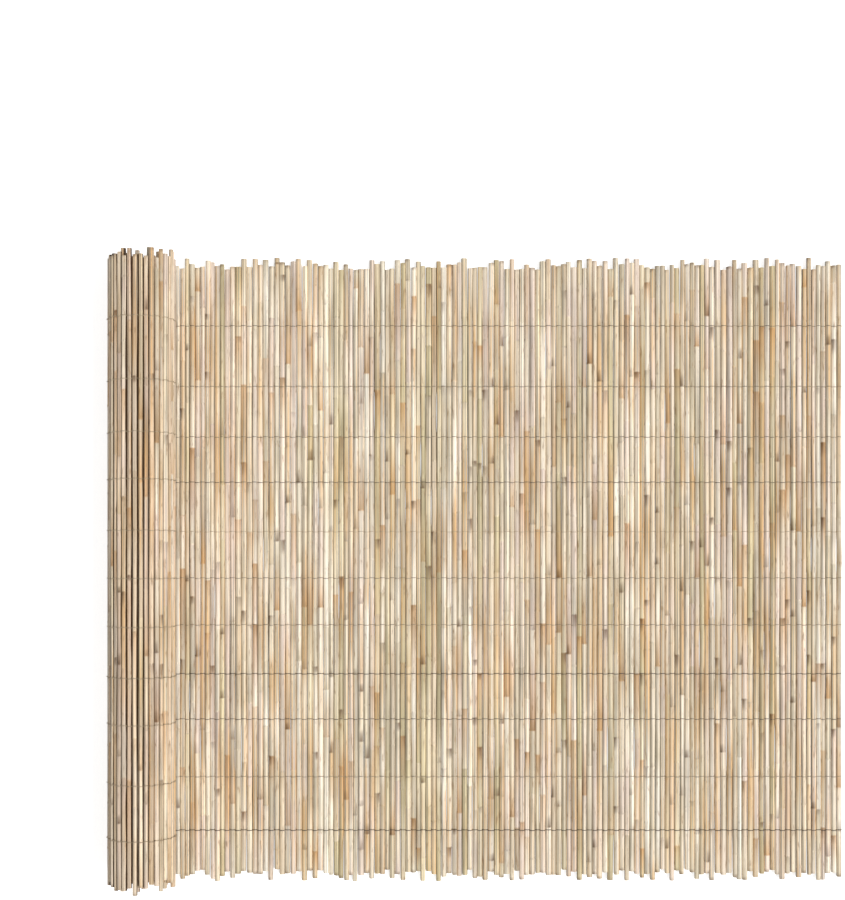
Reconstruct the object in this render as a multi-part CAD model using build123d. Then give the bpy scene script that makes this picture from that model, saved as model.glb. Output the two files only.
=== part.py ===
from build123d import *
import math
import os
import random
from collections import namedtuple

# Reeds: cut stems of nearly one thickness, laid side by side
reed_length = 1188.0
reed_diameter = 10.24
reed_spread = 1.4
crest_facets = 4
contact_height = 3.0
end_scatter = 6.0
proud_share = 0.35
proud_reach = 12.0

# Lay of the mat: an open run on the ground and a roll at its left end
run_length = 1356.0
roll_diameter = 133.0
core_diameter = 60.0
turn_clearance = 0.3
seam_clearance = 0.1

# Tie wires: rows of two strands, one on each face of the mat
wire_size = 1.2
wire_seat = 0.05
wrap_angle = 330.0
wrap_bends = 15
top_margin = 116.0
bottom_margin = 83.0
row_drift = [0, -20, -20, -10, -8, 0, 7, 10, 20, 6, 0]

# Gaps: stretches between ties, or past the last one, where neighbouring stems stand apart
gap_share = 0.86
gap_width = 1.5
gap_tie_margin = 9.0
top_gap_weight = 8
bottom_gap_weight = 5

# The stems of this mat: one seed always cuts the same ones
weave_seed = 41

thickest_radius = (reed_diameter + reed_spread) / 2
strand_rise = thickest_radius + wire_seat + wire_size / 2
mat_middle = strand_rise + wire_size / 2
turn_pitch = 2 * strand_rise + turn_clearance
winding_radius = (roll_diameter + turn_pitch) / 2 - mat_middle
roll_axis_height = mat_middle + winding_radius

Stem = namedtuple("Stem", "radius low high")


def end_offset(rng):
    offset = rng.uniform(-end_scatter, end_scatter)
    if rng.random() < proud_share:
        offset += proud_reach
    return offset


def cut_stem(rng):
    radius = (reed_diameter + rng.uniform(-reed_spread, reed_spread)) / 2
    low = -reed_length / 2 - end_offset(rng)
    high = reed_length / 2 + end_offset(rng)
    return Stem(radius, low, high)


def spiral_radius(angle):
    return winding_radius - turn_pitch * angle / (2 * math.pi)


def on_roll(radius, angle):
    # Angle zero is under the roll, and it grows to the left, over the top and down the right
    return Vector(-radius * math.sin(angle), 0, roll_axis_height - radius * math.cos(angle))


def mat_point(distance):
    # The mat's middle line: the run lies at positive distances, the winding at negative ones
    if distance >= 0:
        return Vector(distance, 0, mat_middle)
    radius = math.sqrt(winding_radius ** 2 + turn_pitch * distance / math.pi)
    return on_roll(radius, (winding_radius - radius) * 2 * math.pi / turn_pitch)


def beside(distance, spacing):
    # The next place towards the core whose straight distance is the spacing
    middle = mat_point(distance)
    step = spacing
    for _ in range(8):
        step += spacing - (mat_point(distance - step) - middle).length
    return distance - step


def lay_mat(rng):
    # Stems and their places from the open end to the core, with a seam where the roll starts
    wound_length = math.pi * (winding_radius ** 2 - (core_diameter / 2) ** 2) / turn_pitch
    stem = cut_stem(rng)
    distance = run_length - stem.radius
    run, roll = [], []
    while distance > -wound_length:
        row = run if distance >= 0 else roll
        row.append((stem, mat_point(distance)))
        following = cut_stem(rng)
        spacing = stem.radius + following.radius
        starts_roll = distance >= 0 and distance < spacing
        distance = beside(distance, spacing + (seam_clearance if starts_roll else 0))
        stem = following
    return run, roll


def arc_points(middle, radius, first, last):
    # Corners of the rounded side between two contact faces
    turn = (last - first) / crest_facets
    angles = [first + turn * index for index in range(1, crest_facets)]
    return [middle + Vector(math.cos(a), 0, math.sin(a)) * radius for a in angles]


def contact_points(middle, radius, angle):
    # Ends of the flat where a stem is pressed against its neighbour
    outward = Vector(math.cos(angle), 0, math.sin(angle))
    along = Vector(-outward.Z, 0, outward.X) * (contact_height / 2)
    return [middle + outward * radius - along, middle + outward * radius + along]


def reed(stem, middle, right, left):
    right_angle = math.atan2(right.Z, right.X)
    left_angle = math.atan2(left.Z, left.X)
    while left_angle < right_angle:
        left_angle += 2 * math.pi
    outline = [
        *contact_points(middle, stem.radius, right_angle),
        *arc_points(middle, stem.radius, right_angle, left_angle),
        *contact_points(middle, stem.radius, left_angle),
        *arc_points(middle, stem.radius, left_angle, right_angle + 2 * math.pi),
    ]
    section = make_face(Polyline(*outline, close=True))
    return Pos(0, stem.low, 0) * extrude(section, stem.high - stem.low, dir=(0, 1, 0))


def reed_wall(rows, first, last):
    # The stems from one index up to another, joined where they are pressed together
    reeds = []
    for index in range(first, last):
        stem, middle = rows[index]
        right = rows[index - 1][1] - middle if index > 0 else Vector(1, 0, 0)
        left = rows[index + 1][1] - middle if index + 1 < len(rows) else -right
        reeds.append(reed(stem, middle, right, left))
    return reeds[0].fuse(*reeds[1:])


def wire_row_heights():
    top = reed_length / 2 - top_margin
    spacing = (reed_length - top_margin - bottom_margin) / (len(row_drift) - 1)
    return [top - spacing * index + drift for index, drift in enumerate(row_drift)]


def stem_gaps(run, heights, rng):
    # Each gap thins one stem beside its neighbour's flat, and at the free ends it runs out of the mat
    bounds = [reed_length, *heights, -reed_length]
    weights = [top_gap_weight, *[1] * (len(heights) - 1), bottom_gap_weight]
    contacts = range(len(run) - 1)
    slots = []
    for index in sorted(rng.sample(contacts, int(gap_share * len(contacts)))):
        stem, middle = run[index]
        stretch = rng.choices(range(len(weights)), weights)[0]
        upper = bounds[stretch] - gap_tie_margin
        lower = bounds[stretch + 1] + gap_tie_margin
        slot = Box(gap_width, upper - lower, 4 * thickest_radius, align=(Align.MIN, Align.CENTER, Align.CENTER))
        slots.append(Pos(middle.X - stem.radius, (upper + lower) / 2, mat_middle) * slot)
    return slots


def straight_strand(height, rise, length):
    strand = Box(length, wire_size, wire_size, align=(Align.MIN, Align.CENTER, Align.CENTER))
    return Pos(0, height, mat_middle + rise) * strand


def wrap_edge(rise):
    # Bends stand off the outer turn just enough for the straights between them to clear it
    turn = math.radians(wrap_angle) / wrap_bends
    bends = [turn * (index + 0.5) for index in range(wrap_bends)]
    end = turn * wrap_bends
    return [
        on_roll(winding_radius + rise, 0),
        *[on_roll((spiral_radius(angle) + rise) / math.cos(turn / 2), angle) for angle in bends],
        on_roll(spiral_radius(end) + rise, end),
    ]


def wrapped_strand(height):
    inner = wrap_edge(strand_rise - wire_size / 2)
    outer = wrap_edge(strand_rise + wire_size / 2)
    band = make_face(Polyline(*inner, *reversed(outer), close=True))
    return Pos(0, height - wire_size / 2, 0) * extrude(band, wire_size, dir=(0, 1, 0))


rng = random.Random(weave_seed)
run, roll = lay_mat(rng)
heights = wire_row_heights()
mat = run + roll

nodes = {
    "reed_run": reed_wall(mat, 0, len(run)).cut(*stem_gaps(run, heights, rng)),
    "reed_roll": reed_wall(mat, len(run), len(mat)),
}
for number, height in enumerate(heights, start=1):
    nodes[f"face_wire_{number:02d}"] = straight_strand(height, strand_rise, run_length)
    under_run = straight_strand(height, -strand_rise, run_length)
    nodes[f"back_wire_{number:02d}"] = Compound([under_run, wrapped_strand(height)])

# The middle of the mat's outline on the ground is the origin
outline = Compound(list(nodes.values())).bounding_box()
to_origin = Pos(-outline.center().X, -outline.center().Y, -outline.min.Z)
os.makedirs("parts", exist_ok=True)
for name, node in nodes.items():
    export_step(to_origin * node, f"parts/{name}.step")
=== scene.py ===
import bisect
import math
import random

import bmesh
import bpy
from mathutils import Matrix, Vector


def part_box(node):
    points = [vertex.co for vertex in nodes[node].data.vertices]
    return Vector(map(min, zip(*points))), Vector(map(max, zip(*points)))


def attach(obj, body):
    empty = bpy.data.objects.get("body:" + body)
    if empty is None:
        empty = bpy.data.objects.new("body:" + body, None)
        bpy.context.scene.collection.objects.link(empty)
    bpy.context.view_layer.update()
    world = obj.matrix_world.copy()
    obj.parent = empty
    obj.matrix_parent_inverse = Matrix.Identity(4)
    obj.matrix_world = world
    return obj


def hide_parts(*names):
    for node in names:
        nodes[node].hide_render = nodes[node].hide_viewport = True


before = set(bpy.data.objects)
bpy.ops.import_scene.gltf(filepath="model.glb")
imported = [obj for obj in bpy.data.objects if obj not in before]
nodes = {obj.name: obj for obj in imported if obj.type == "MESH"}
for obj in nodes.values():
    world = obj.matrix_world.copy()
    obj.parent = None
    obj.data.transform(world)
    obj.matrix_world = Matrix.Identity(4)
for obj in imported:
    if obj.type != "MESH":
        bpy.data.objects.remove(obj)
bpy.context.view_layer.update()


def srgb(red, green, blue):
    # 0-255 picture values to the linear values that sockets take
    def linear(value):
        value /= 255
        return value / 12.92 if value <= 0.04045 else ((value + 0.055) / 1.055) ** 2.4
    return linear(red), linear(green), linear(blue), 1.0


def grey(value):
    return value, value, value, 1.0


def addObject(name, data):
    item = bpy.data.objects.new(name, data)
    bpy.context.scene.collection.objects.link(item)
    return item


# materials

def newMaterial(name):
    material = bpy.data.materials.new(name)
    material.use_nodes = True
    tree = material.node_tree
    tree.nodes.clear()
    output = tree.nodes.new("ShaderNodeOutputMaterial")
    shader = tree.nodes.new("ShaderNodeBsdfPrincipled")
    tree.links.new(shader.outputs["BSDF"], output.inputs["Surface"])
    return material, tree, shader


def setInputs(tree, node, inputs):
    # another node's output is linked, and a constant goes on the socket itself
    for name, value in inputs.items():
        if isinstance(value, bpy.types.NodeSocket):
            tree.links.new(value, node.inputs[name])
        else:
            node.inputs[name].default_value = value


def addNode(tree, kind, inputs=(), **settings):
    node = tree.nodes.new(kind)
    for name, value in settings.items():
        setattr(node, name, value)
    setInputs(tree, node, dict(inputs))
    return node


def calculate(tree, operation, *values):
    node = addNode(tree, "ShaderNodeMath", dict(enumerate(values)), operation=operation)
    return node.outputs[0]


def drawn(tree, name):
    # the value that a mesh holds under this name
    return addNode(tree, "ShaderNodeAttribute", attribute_name=name).outputs["Fac"]


def addRamp(tree, factor, stops):
    ramp = addNode(tree, "ShaderNodeValToRGB", {"Fac": factor})
    elements = ramp.color_ramp.elements
    while len(elements) < len(stops):
        elements.new(1.0)
    for element, (position, colour) in zip(elements, stops):
        element.position = position
        element.color = colour
    return ramp.outputs["Color"]


def greyRamp(tree, factor, stops):
    return addRamp(tree, factor, [(position, grey(value)) for position, value in stops])


def mixColour(tree, factor, first, second, blendType="MIX"):
    # sockets by number, because the node's other kinds of mix have the same names
    inputs = {0: factor, 6: first, 7: second}
    mix = addNode(tree, "ShaderNodeMix", inputs, data_type="RGBA", blend_type=blendType)
    return mix.outputs[2]


def grainNoise(tree, scale, detail=3.0, roughness=0.55):
    # noise in the mat's own space, where all stems lie along Y
    spot = addNode(tree, "ShaderNodeTexCoord").outputs["Object"]
    stretch = addNode(tree, "ShaderNodeMapping", {"Vector": spot, "Scale": scale})
    noise = addNode(tree, "ShaderNodeTexNoise", {
        "Vector": stretch.outputs["Vector"],
        "Scale": 1.0,
        "Detail": detail,
        "Roughness": roughness,
    })
    return noise.outputs["Fac"]


def stemNoise(tree, turns, start, detail=2.0):
    # noise that runs along a stem and differs from stem to stem
    spot = addNode(tree, "ShaderNodeTexCoord").outputs["Object"]
    height = addNode(tree, "ShaderNodeSeparateXYZ", {0: spot}).outputs["Y"]
    along = calculate(tree, "MULTIPLY_ADD", height, turns, start)
    spot = addNode(tree, "ShaderNodeCombineXYZ", {"X": drawn(tree, "stemKey"), "Y": along})
    noise = addNode(tree, "ShaderNodeTexNoise", {
        "Vector": spot.outputs[0],
        "Scale": 1.0,
        "Detail": detail,
    })
    return noise.outputs["Fac"]


stemSkin = {
    "stops": [
        (0.00, srgb(205, 191, 154)),
        (0.14, srgb(227, 213, 183)),
        (0.28, srgb(214, 199, 174)),
        (0.42, srgb(237, 222, 197)),
        (0.56, srgb(231, 213, 197)),
        (0.70, srgb(240, 228, 207)),
        (0.84, srgb(217, 204, 178)),
        (1.00, srgb(250, 241, 223)),
    ],
    # changes along a stem: turns a metre, and where in the noise they start
    "drift": (3, 0.0),
    "weather": (6, 40.0),
    "warmth": (3.5, 80.0),
    "driftDepth": 1.1,
    # grain, finest across the stems
    "fibre": (900, 5, 900),
    "rib": (430, 1.6, 430),
    "stain": (240, 34, 240),
    # how far off its middle a noise shades fully, and the darkest and lightest shade
    "fibreShade": (0.12, 0.72, 1.12),
    "ribShade": (0.09, 0.67, 1.23),
    "weatherShade": (0.16, 0.82, 1.08),
    # tints, with where each sets in and where it is full, and how strong it is there
    "warmTan": srgb(202, 166, 118),
    "warmFade": ((0.51, 0.0), (0.62, 0.9)),
    "sheathTan": srgb(196, 149, 94),
    "sheathFade": ((0.0, 0.0), (1.0, 0.8)),
    "stainBrown": srgb(146, 112, 74),
    "stainFade": ((0.58, 0.0), (0.72, 0.7)),
    "nodeBrown": srgb(92, 62, 36),
    "nodeFade": ((0.05, 0.0), (1.0, 0.85)),
    # painted shade: dark brown on the sides where stems touch, for the shade in the valleys
    # between them
    "valleyShadeBrown": srgb(58, 32, 8),
    "valleyShadeFade": ((0.80, 0.0), (1.0, 0.95)),
    # weather noise that makes the painted valley shade wider and narrower, and by how much
    "valleyShadeWeather": (0.3, 0.7),
    "valleyShadeChange": (0.80, 1.12),
    "roughness": 0.42,
    "shine": 0.12,
    "bumpStrength": 0.35,
    "bumpDepth": 0.0003,
}


def makeStemSkin():
    material, tree, shader = newMaterial("dryReedSkin")
    fibre = grainNoise(tree, stemSkin["fibre"])
    rib = grainNoise(tree, stemSkin["rib"], detail=2.0)
    stain = grainNoise(tree, stemSkin["stain"], detail=4.0, roughness=0.6)
    weather = stemNoise(tree, *stemSkin["weather"], detail=5.0)
    drift = addNode(tree, "ShaderNodeMapRange", {
        "Value": stemNoise(tree, *stemSkin["drift"]),
        "To Min": -stemSkin["driftDepth"] / 2,
        "To Max": stemSkin["driftDepth"] / 2,
    })
    tone = calculate(tree, "ADD", drawn(tree, "stemTone"), drift.outputs["Result"])
    # tan streaks run along a stem and are narrower than it, so they are half rib
    streak = calculate(tree, "ADD", stemNoise(tree, *stemSkin["warmth"]), rib)
    streak = calculate(tree, "MULTIPLY", streak, 0.5)
    # painted shade in the valleys between stems, made wider and narrower along each stem by the
    # weather noise
    uneven = addNode(tree, "ShaderNodeMapRange", {
        "Value": weather,
        "From Min": stemSkin["valleyShadeWeather"][0],
        "From Max": stemSkin["valleyShadeWeather"][1],
        "To Min": stemSkin["valleyShadeChange"][0],
        "To Max": stemSkin["valleyShadeChange"][1],
    })
    valleyShade = calculate(tree, "MULTIPLY", drawn(tree, "stemValleyShade"), uneven.outputs["Result"])

    def tinted(colour, factor, fade, tint):
        return mixColour(tree, greyRamp(tree, factor, stemSkin[fade]), colour, stemSkin[tint])

    colour = addRamp(tree, tone, stemSkin["stops"])
    colour = tinted(colour, streak, "warmFade", "warmTan")
    colour = tinted(colour, drawn(tree, "stemStain"), "sheathFade", "sheathTan")
    for noise, name in ((fibre, "fibreShade"), (rib, "ribShade"), (weather, "weatherShade")):
        spread, dark, light = stemSkin[name]
        shade = greyRamp(tree, noise, [(0.5 - spread, dark), (0.5, 1.0), (0.5 + spread, light)])
        colour = mixColour(tree, 1.0, colour, shade, "MULTIPLY")
    colour = tinted(colour, stain, "stainFade", "stainBrown")
    colour = tinted(colour, drawn(tree, "stemJoint"), "nodeFade", "nodeBrown")
    # painted shade darkens the sides where the stems meet
    colour = tinted(colour, valleyShade, "valleyShadeFade", "valleyShadeBrown")
    bump = addNode(tree, "ShaderNodeBump", {
        "Height": fibre,
        "Strength": stemSkin["bumpStrength"],
        "Distance": stemSkin["bumpDepth"],
    })
    setInputs(tree, shader, {
        "Base Color": colour,
        "Roughness": stemSkin["roughness"],
        "Specular IOR Level": stemSkin["shine"],
        "Normal": bump.outputs["Normal"],
    })
    return material


cutSkin = {
    "grain": (1800, 1800, 1800),
    "stops": [(0.3, srgb(206, 178, 130)), (0.7, srgb(240, 224, 184))],
    "roughness": 0.8,
}
boreSkin = {
    "grain": (900, 60, 900),
    "stops": [(0.3, srgb(96, 74, 48)), (0.7, srgb(150, 122, 84))],
    "roughness": 0.9,
}


def makeSpeckled(name, skin):
    material, tree, shader = newMaterial(name)
    colour = addRamp(tree, grainNoise(tree, skin["grain"]), skin["stops"])
    setInputs(tree, shader, {"Base Color": colour, "Roughness": skin["roughness"]})
    return material


wireSkin = {
    "patch": (160, 160, 160),
    "patchFade": ((0.35, 0.5), (0.55, 1.0)),
    "dust": srgb(206, 184, 150),
    "rust": srgb(34, 22, 14),
    "roughness": 0.5,
}


def makeTieWire():
    # rusted dark on the crests, more on some rows than on others, and dusty in the valleys
    material, tree, shader = newMaterial("dullTieWire")
    patchy = greyRamp(tree, grainNoise(tree, wireSkin["patch"]), wireSkin["patchFade"])
    dark = calculate(tree, "MULTIPLY", drawn(tree, "wireRust"), patchy)
    colour = mixColour(tree, dark, wireSkin["dust"], wireSkin["rust"])
    setInputs(tree, shader, {"Base Color": colour, "Roughness": wireSkin["roughness"]})
    return material


stemMaterials = [
    makeStemSkin(),
    makeSpeckled("cutReedEnd", cutSkin),
    makeSpeckled("reedBore", boreSkin),
]
skinSlot, cutSlot, boreSlot = range(len(stemMaterials))
tieWireMaterial = makeTieWire()
print("materials made")


# stems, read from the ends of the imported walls

endNormal = 0.9      # a face whose normal has more than this along Y is an end
smallestEnd = 4e-5   # square metres, between a stem's end and the end of a gap


def isEnd(face):
    return abs(face.normal.y) > endNormal


def endFaces(nodeName):
    # every flat patch that looks along the stems: stem ends, and the ends of the gaps
    shell = bmesh.new()
    shell.from_mesh(nodes[nodeName].data)
    seen = set()
    patches = []
    for first in shell.faces:
        if first in seen or not isEnd(first):
            continue
        seen.add(first)
        patch = [first]
        for face in patch:
            for other in (other for edge in face.edges for other in edge.link_faces):
                if other not in seen and isEnd(other):
                    seen.add(other)
                    patch.append(other)
        corners = {corner.index: corner.co.copy() for face in patch for corner in face.verts}
        middle = sum(corners.values(), Vector()) / len(corners)
        spread = sorted((corner - middle).length for corner in corners.values())
        patches.append({
            "middle": middle,
            "radius": spread[len(spread) // 2],
            "area": sum(face.calc_area() for face in patch),
            "side": 1 if first.normal.y > 0 else -1,
        })
    shell.free()
    return patches


def flatDistance(first, second):
    return math.hypot(first.x - second.x, first.z - second.z)


def readStems(patches):
    # a gap may cut into one end of a stem, so its place is read at the larger end
    ends = [patch for patch in patches if patch["area"] > smallestEnd]
    tops = [end for end in ends if end["side"] > 0]
    stems = []
    for foot in (end for end in ends if end["side"] < 0):
        top = min(tops, key=lambda end: flatDistance(end["middle"], foot["middle"]))
        whole = max(foot, top, key=lambda end: end["area"])
        stems.append({
            "middle": Vector((whole["middle"].x, 0, whole["middle"].z)),
            "radius": whole["radius"],
            "low": foot["middle"].y,
            "high": top["middle"].y,
            "gaps": [],
        })
    return stems


def readGaps(patches, chain):
    # small faces close a gap's ends, beside the stem that it thins; a free end has none
    walls = [patch for patch in patches if patch["area"] < smallestEnd]
    found = 0
    for stem, neighbour in zip(chain, chain[1:]):
        seam = stem["middle"].x - stem["radius"]
        own = [wall for wall in walls if 0 < wall["middle"].x - seam < stem["radius"] / 2]
        if not own:
            continue
        found += 1
        lower = [wall["middle"].y for wall in own if wall["side"] > 0]
        upper = [wall["middle"].y for wall in own if wall["side"] < 0]
        # a gap that runs out of the mat is widest at the stem's end
        for parted, way in ((stem, 1), (neighbour, -1)):
            low = lower[0] if lower else 2 * parted["low"] - upper[0]
            high = upper[0] if upper else 2 * parted["high"] - lower[0]
            parted["gaps"].append((low, high, way))
    return found


def chainStems(runStems, rollStems):
    # the open end first, then stem by stem into the roll
    chain = sorted(runStems, key=lambda stem: -stem["middle"].x)
    rest = list(rollStems)
    while rest:
        last = chain[-1]["middle"]
        nearest = min(rest, key=lambda stem: flatDistance(stem["middle"], last))
        rest.remove(nearest)
        chain.append(nearest)
    return chain


def turnStems(chain):
    # each stem's way along the mat and out of its face
    for index, stem in enumerate(chain):
        before = chain[max(index - 1, 0)]["middle"]
        after = chain[min(index + 1, len(chain) - 1)]["middle"]
        stem["along"] = (before - after).normalized()
        stem["out"] = Vector((-stem["along"].z, 0, stem["along"].x))


runPatches = endFaces("reed_run")
runStems = readStems(runPatches)
rollStems = readStems(endFaces("reed_roll"))
mat = chainStems(runStems, rollStems)
turnStems(mat)
gapCount = readGaps(runPatches, mat[:len(runStems)])
print(
    "stems read:", len(runStems), "in the run,",
    len(rollStems), "in the roll,", gapCount, "gaps",
)


stemForm = {
    "seed": 7,
    "sides": 12,
    "wall": 0.0012,
    "boreDepth": 0.022,
    "taper": 0.05,
    # joints: their spacing from the butt, and how thick the stem is at one and just past it
    "firstJoint": (0.02, 0.16),
    "internode": (0.085, 0.21),
    "jointReach": 0.003,
    "swell": 1.06,
    "neck": 0.985,
    # lie: a slow bow with its radians a metre, a lift, and a lean aside at a gap
    "bow": 0.0004,
    "bowTurn": 12,
    "lift": 0.0006,
    "part": 0.0008,
    "gapShares": (0.0, 0.1, 0.3, 0.5, 0.7, 0.9, 1.0),
    # tone, which steps a little at each joint, and the key that tells stems apart
    "toneJitter": 0.07,
    "keys": (0, 1000),
    # brown marks at the joints, smudged past them on one side, and at the cut ends
    "marks": (0.0, 0.05, 0.1, 0.15, 0.2, 0.35, 0.6, 1.0),
    "smudge": (0.008, 0.028),
    "smudgeMiddle": 0.6,
    "smudgeTurn": (-45, 45),
    "smudgeRound": 0.3,
    "smudgePower": 4,
    "endMarks": (0.0, 0.2, 0.4, 0.6, 0.9),
    "endReach": 0.008,
    # tan left by the leaf sheath past a joint
    "sheath": (0.4, 1.0),
    "sheathReach": (0.04, 0.20),
    # how far a stem of the roll has to face the sun for paler painted shade on its sides
    "litFrom": 0.3,
}


def between(knots, place):
    # straight from knot to knot
    for (first, start), (last, end) in zip(knots, knots[1:]):
        if place <= last:
            return start + (end - start) * (place - first) / max(last - first, 1e-6)
    return knots[-1][1]


def leanAt(stem, height):
    # how far a stem leans aside where a gap opens beside it
    lean = 0.0
    for low, high, way in stem["gaps"]:
        share = (height - low) / (high - low)
        if 0 < share < 1:
            lean += way * math.sqrt(math.sin(math.pi * share))
    return lean * stemForm["part"]


def middleAt(stem, height):
    bow = stemForm["bow"] * math.sin(stem["phase"] + stemForm["bowTurn"] * height)
    aside = stem["along"] * (leanAt(stem, height) + bow)
    return stem["middle"] + stem["out"] * stem["lift"] + aside + Vector((0, height, 0))


def stemRings(stem, lay, rng):
    # rings from foot to top, worked out from the butt, which may be at either end
    low, high = stem["low"], stem["high"]
    length = high - low
    buttDown = rng.random() < 0.5
    reach = stemForm["jointReach"]
    joints = [rng.uniform(*stemForm["firstJoint"])]
    while joints[-1] + stemForm["internode"][1] < length:
        joints.append(joints[-1] + rng.uniform(*stemForm["internode"]))
    buttMark, tipMark = rng.choice(stemForm["endMarks"]), rng.choice(stemForm["endMarks"])
    swell = [(0.0, 1.0)]
    mark = [(0.0, buttMark), (stemForm["endReach"], 0.0)]
    tan = rng.choice(lay["tan"])
    stain = [(0.0, tan)]
    for place, following in zip(joints, [*joints[1:], length]):
        # smudge and stain end before the next joint's swelling
        room = following - place - 4 * reach
        depth = rng.choice(stemForm["marks"])
        smudge = min(rng.uniform(*stemForm["smudge"]), room)
        fade = min(rng.uniform(*stemForm["sheathReach"]), room)
        stained = rng.random() < lay["stainShare"]
        sheath = rng.uniform(*stemForm["sheath"]) if stained else 0.0
        past = place + reach
        swell += [(place - reach, 1.0), (place, stemForm["swell"]), (past, stemForm["neck"])]
        mark += [
            (place - reach, 0.0),
            (place, depth),
            (past + smudge / 2, stemForm["smudgeMiddle"] * depth),
            (past + smudge, 0.0),
        ]
        stain += [(place - reach, tan), (place, max(tan, sheath)), (past + fade, tan)]
    swell.append((length, 1.0))
    mark += [(length - stemForm["endReach"], 0.0), (length, tipMark)]
    stain.append((length, tan))
    tones = [rng.uniform(*lay["tones"])]
    for _ in joints:
        tones.append(min(max(tones[0] + rng.gauss(0, stemForm["toneJitter"]), 0.0), 1.0))

    def turned(place):
        return low + place if buttDown else high - place

    def fromButt(height):
        return height - low if buttDown else high - height

    heights = {turned(place) for place, _ in (*swell, *mark, *stain)}
    for gapLow, gapHigh, _ in stem["gaps"]:
        heights.update(gapLow + (gapHigh - gapLow) * share for share in stemForm["gapShares"])
    heights = sorted(height for height in heights if low <= height <= high)
    radius = stem["radius"] - rng.uniform(*lay["slack"])
    rings = []
    for height, above in zip(heights, [*heights[1:], high]):
        place = fromButt(height)
        taper = 1 + stemForm["taper"] * (0.5 - place / length)
        rings.append({
            "height": height,
            "radius": radius * between(swell, place) * taper,
            "joint": between(mark, place),
            "stain": between(stain, place),
            "tone": tones[bisect.bisect(joints, fromButt((height + above) / 2))],
        })
    return rings


def growRing(shape, edges, middle, radius):
    # extrude the open end of a stem and set the new ring in its place
    made = bmesh.ops.extrude_edge_only(shape, edges=edges)["geom"]
    ring = [item for item in made if isinstance(item, bmesh.types.BMVert)]
    old = sum((corner.co for corner in ring), Vector()) / len(ring)
    scale = radius / (ring[0].co - old).length
    bmesh.ops.scale(shape, vec=(scale, 1, scale), space=Matrix.Translation(-old), verts=ring)
    bmesh.ops.translate(shape, vec=middle - old, verts=ring)
    ringSet = set(ring)
    newEdges = [
        item for item in made
        if isinstance(item, bmesh.types.BMEdge) and ringSet.issuperset(item.verts)
    ]
    faces = [item for item in made if isinstance(item, bmesh.types.BMFace)]
    return newEdges, ring, faces


def setSlot(faces, slot):
    for face in faces:
        face.material_index = slot


def growStem(stem, lay, rng):
    shape = bmesh.new()
    toneLayer, keyLayer = (shape.faces.layers.float.new(name) for name in ("stemTone", "stemKey"))
    jointLayer, stainLayer, valleyShadeLayer = (
        shape.verts.layers.float.new(name) for name in ("stemJoint", "stemStain", "stemValleyShade")
    )
    rings = stemRings(stem, lay, rng)
    key = rng.uniform(*stemForm["keys"])
    # the roll's outside is the mat's underside
    lit = -stem["out"].x > stemForm["litFrom"]
    # painted shade on the sides where a stem meets its neighbours, paler on roll stems that face
    # the sun
    valleyShadeDepth = rng.uniform(*(lay.get("litValleyShade", lay["valleyShade"]) if lit else lay["valleyShade"]))
    smudgeTurn = math.radians(rng.uniform(*stemForm["smudgeTurn"]))
    smudgeSide = stem["along"] * math.sin(smudgeTurn) + stem["out"] * math.cos(smudgeTurn)
    smudgeRound = stemForm["smudgeRound"]

    # bore floor, bore, cut end, skin, cut end, bore, bore floor
    wall = stemForm["wall"]
    footMiddle, footBore = middleAt(stem, rings[0]["height"]), rings[0]["radius"] - wall
    topMiddle, topBore = middleAt(stem, rings[-1]["height"]), rings[-1]["radius"] - wall
    depth = Vector((0, stemForm["boreDepth"], 0))
    turn = Matrix.Rotation(math.atan2(-stem["along"].z, stem["along"].x), 4, "Y")
    upright = Matrix.Rotation(math.pi / 2, 4, "X")
    bmesh.ops.create_circle(
        shape, cap_ends=True, segments=stemForm["sides"], radius=footBore,
        matrix=Matrix.Translation(footMiddle + depth) @ turn @ upright,
    )
    setSlot(shape.faces, boreSlot)
    edges, _, faces = growRing(shape, list(shape.edges), footMiddle, footBore)
    setSlot(faces, boreSlot)
    for index, level in enumerate(rings):
        middle = middleAt(stem, level["height"])
        edges, ring, faces = growRing(shape, edges, middle, level["radius"])
        setSlot(faces, skinSlot if index else cutSlot)
        for face in faces:
            face[toneLayer] = rings[max(index - 1, 0)]["tone"]
            face[keyLayer] = key
            face.smooth = index > 0
        for corner in ring:
            facing = (corner.co - middle).normalized()
            smudged = abs(facing.dot(smudgeSide)) ** stemForm["smudgePower"]
            corner[jointLayer] = level["joint"] * (smudgeRound + (1 - smudgeRound) * smudged)
            corner[stainLayer] = level["stain"]
            # painted shade for the valley between stems: full on the sides facing the neighbours,
            # none on the crest
            corner[valleyShadeLayer] = abs(facing.dot(stem["along"])) * valleyShadeDepth
        if index in (0, len(rings) - 1):
            for edge in edges:
                edge.smooth = False
    edges, _, faces = growRing(shape, edges, topMiddle, topBore)
    setSlot(faces, cutSlot)
    edges, _, faces = growRing(shape, edges, topMiddle - depth, topBore)
    setSlot(faces, boreSlot)
    setSlot(bmesh.ops.edgeloop_fill(shape, edges=edges)["faces"], boreSlot)
    bmesh.ops.recalc_face_normals(shape, faces=shape.faces)
    return shape


def plantStems(name, stems, nodeName, lay, rng):
    bed = bmesh.new()
    scrap = bpy.data.meshes.new("oneStem")
    for stem in stems:
        shape = growStem(stem, lay, rng)
        shape.to_mesh(scrap)
        shape.free()
        bed.from_mesh(scrap)
    mesh = bpy.data.meshes.new(name)
    bed.to_mesh(mesh)
    bed.free()
    bpy.data.meshes.remove(scrap)
    for material in stemMaterials:
        mesh.materials.append(material)
    piece = addObject(name, mesh)
    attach(piece, "root")
    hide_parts(nodeName)
    print(name, "has", len(mesh.polygons), "faces")


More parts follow.
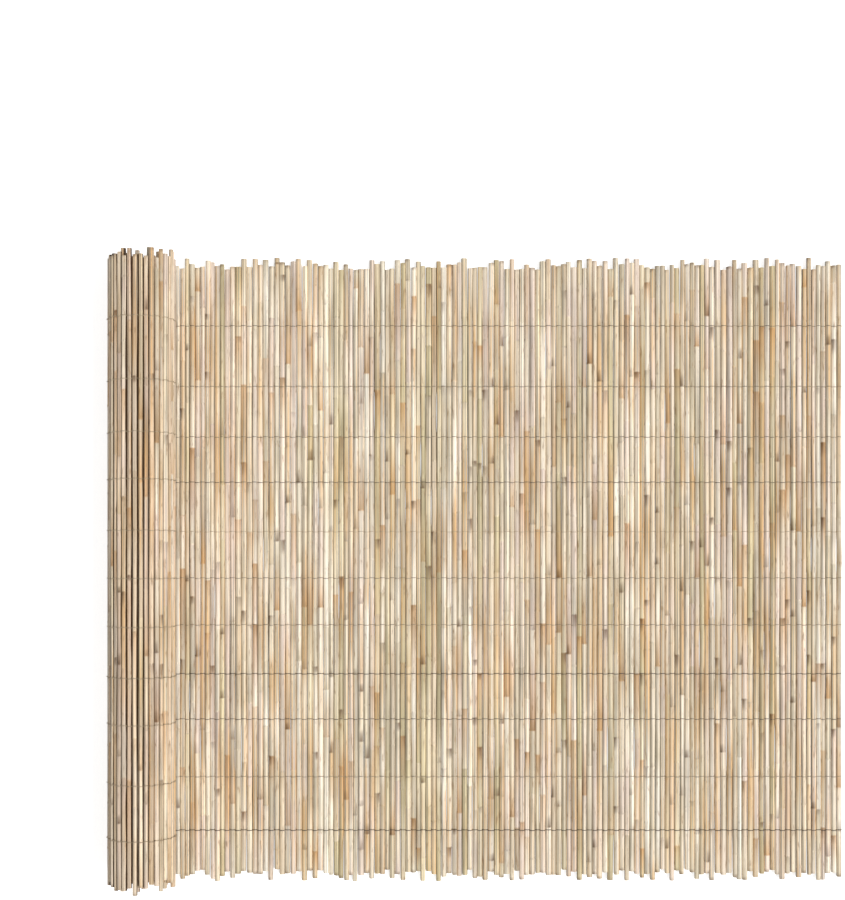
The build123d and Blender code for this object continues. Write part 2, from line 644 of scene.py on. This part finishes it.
# slack is how much thinner than its place a stem is, and the valley shade range how dark the
# shade painted on its sides, between the stems, gets
openLay = {
    "slack": (-0.0002, 0.0001),
    "stainShare": 0.2,
    "tones": (0.0, 1.0),
    "tan": (0.0, 0.0, 0.0, 0.0, 0.15),
    "valleyShade": (0.55, 1.02),
}
rolledLay = {
    "slack": (0.0003, 0.0011),
    "stainShare": 0.35,
    "tones": (0.35, 1.1),
    "tan": (0.1, 0.2, 0.3, 0.45, 0.6),
    "valleyShade": (1.0, 1.2),
    # paler painted shade for roll stems that face the sun
    "litValleyShade": (0.6, 0.8),
}

stemRng = random.Random(stemForm["seed"])
for stem in mat:
    stem["phase"] = stemRng.uniform(0, 2 * math.pi)
    stem["lift"] = stemRng.uniform(-stemForm["lift"], stemForm["lift"])
plantStems("openReeds", mat[:len(runStems)], "reed_run", openLay, stemRng)
plantStems("rolledReeds", mat[len(runStems):], "reed_roll", rolledLay, stemRng)


# tie wires: two strands that change faces between neighbouring stems

tieForm = {
    "rows": 11,
    "hug": (-62, -31, 0, 31, 62),   # degrees round a stem where the strand lies on it
    "outerTurn": 40,                # stems of the roll that show on its outside
    # row by row, the share of its radius that the wire stands off the stems, and its rust
    "proud": (0.85, 0.75, 0.75, 1.1, 0.4, 0.75, 0.75, 1.5, 1.05, 0.7, 1.5),
    "rust": (1.0, 0.95, 1.0, 1.3, 0.4, 0.85, 0.85, 2.0, 1.2, 0.9, 2.0),
    "rustDepth": (0.0036, 0.0022),  # below the highest crest, where the rust starts and is whole
    "rolledRust": 0.5,
}


def strandPath(stems, height, wireRadius, proud, firstSide):
    # both strands start where the loop round the mat's last stem closes
    last = stems[0]
    points = [middleAt(last, height) + last["along"] * (last["radius"] + wireRadius)]
    side = firstSide
    for stem in stems:
        reach = stem["radius"] + proud * wireRadius
        for angle in tieForm["hug"]:
            turn = math.radians(angle)
            point = (
                middleAt(stem, height) + Vector((0, firstSide * wireRadius, 0))
                - stem["along"] * (reach * math.sin(turn))
                + stem["out"] * (side * reach * math.cos(turn))
            )
            # the lower strand rests on the ground
            point.z = max(point.z, wireRadius)
            points.append(point)
        side = -side
    return points


def rustShades(mesh, crest, wireRadius, rust):
    # wire that lies higher than the run's crests is on the roll
    starts, whole = (crest - depth for depth in tieForm["rustDepth"])
    shades = []
    for corner in mesh.vertices:
        share = min(max((corner.co.z - starts) / (whole - starts), 0), 1)
        onRoll = corner.co.z > crest + 2 * wireRadius
        shades.append(tieForm["rolledRust"] if onRoll else share * rust)
    return shades


def twineRow(number):
    faceNode, backNode = f"face_wire_{number:02d}", f"back_wire_{number:02d}"
    low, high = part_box(faceNode)
    wireRadius = (high.z - low.z) / 2
    height = (low.y + high.y) / 2
    proud, rust = tieForm["proud"][number - 1], tieForm["rust"][number - 1]
    stems = mat[:len(runStems) + tieForm["outerTurn"]]
    line = bpy.data.curves.new("tieLine", "CURVE")
    line.dimensions = "3D"
    line.bevel_depth = wireRadius
    line.bevel_resolution = 1
    line.use_fill_caps = True
    for firstSide in (1, -1):
        points = strandPath(stems, height, wireRadius, proud, firstSide)
        strand = line.splines.new("POLY")
        strand.points.add(len(points) - 1)
        for spot, point in zip(strand.points, points):
            spot.co = (*point, 1.0)
    bent = bpy.data.objects.new("tieLine", line)
    mesh = bpy.data.meshes.new_from_object(bent)
    mesh.name = f"tieRow{number:02d}"
    bpy.data.objects.remove(bent)
    bpy.data.curves.remove(line)
    mesh.materials.clear()
    mesh.materials.append(tieWireMaterial)
    for face in mesh.polygons:
        face.use_smooth = True
    shades = rustShades(mesh, high.z, wireRadius, rust)
    mesh.attributes.new("wireRust", "FLOAT", "POINT").data.foreach_set("value", shades)
    piece = addObject(mesh.name, mesh)
    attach(piece, "root")
    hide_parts(faceNode, backNode)
    return len(mesh.polygons)


print("tie wire faces:", sum(twineRow(number) for number in range(1, tieForm["rows"] + 1)))


# floor, light and camera

floorForm = {
    "size": 14.0,
    "colour": srgb(236, 236, 236),
    "roughness": 0.9,
    "glow": 0.66,
}


def seenRays(tree):
    # 1 for rays from the camera, in reflections and through glass
    rays = addNode(tree, "ShaderNodeLightPath").outputs
    mirrored = calculate(tree, "MAXIMUM", rays["Is Camera Ray"], rays["Is Glossy Ray"])
    return calculate(tree, "MAXIMUM", mirrored, rays["Is Transmission Ray"])


def makeFloor():
    shape = bmesh.new()
    bmesh.ops.create_grid(shape, x_segments=1, y_segments=1, size=floorForm["size"] / 2)
    mesh = bpy.data.meshes.new("floor")
    shape.to_mesh(mesh)
    shape.free()
    material, tree, shader = newMaterial("paleFloor")
    setInputs(tree, shader, {
        "Base Color": floorForm["colour"],
        "Roughness": floorForm["roughness"],
        "Specular IOR Level": 0.0,
        "Emission Color": grey(1.0),
        "Emission Strength": calculate(tree, "MULTIPLY", seenRays(tree), floorForm["glow"]),
    })
    mesh.materials.append(material)
    floor = addObject("floor", mesh)


lightForm = {
    "sky": 0.47,
    "sun": 2.48,
    "sunSoftness": 10,
    "sunFrom": (1.0, -0.3, 1.5),
}


def makeLight():
    world = bpy.data.worlds.new("studio")
    world.use_nodes = True
    bpy.context.scene.world = world
    tree = world.node_tree
    tree.nodes.clear()
    output = addNode(tree, "ShaderNodeOutputWorld")
    strength = addNode(tree, "ShaderNodeMapRange", {
        "Value": seenRays(tree),
        "To Min": lightForm["sky"],
        "To Max": 1.0,
    })
    sky = addNode(tree, "ShaderNodeBackground", {
        "Color": grey(1.0),
        "Strength": strength.outputs["Result"],
    })
    tree.links.new(sky.outputs["Background"], output.inputs["Surface"])
    sun = bpy.data.lights.new("softSun", "SUN")
    sun.energy = lightForm["sun"]
    sun.angle = math.radians(lightForm["sunSoftness"])
    lamp = addObject("softSun", sun)
    lamp.rotation_mode = "QUATERNION"
    lamp.rotation_quaternion = Vector(lightForm["sunFrom"]).to_track_quat("Z", "Y")


cameraForm = {
    "picture": (845, 900),
    "axisPixel": (475, 565),       # where the lens axis meets the picture
    "overRun": 2.81,               # height above the open run
    "focalPixels": 1433,
    "axisOnMat": (-0.0067, 0.009),
    "sensor": 36.0,
}


def makeCamera():
    width, height = cameraForm["picture"]
    axisX, axisY = cameraForm["axisPixel"]
    lens = bpy.data.cameras.new("lens")
    lens.sensor_width = cameraForm["sensor"]
    lens.lens = cameraForm["focalPixels"] / height * lens.sensor_width
    lens.shift_x = (width / 2 - axisX) / height
    lens.shift_y = (axisY - height / 2) / height
    camera = addObject("camera", lens)
    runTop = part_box("reed_run")[1].z
    camera.location = (*cameraForm["axisOnMat"], runTop + cameraForm["overRun"])
    bpy.context.scene.camera = camera


makeFloor()
makeLight()
makeCamera()
bpy.context.scene.view_settings.view_transform = "Standard"
print("stage made")
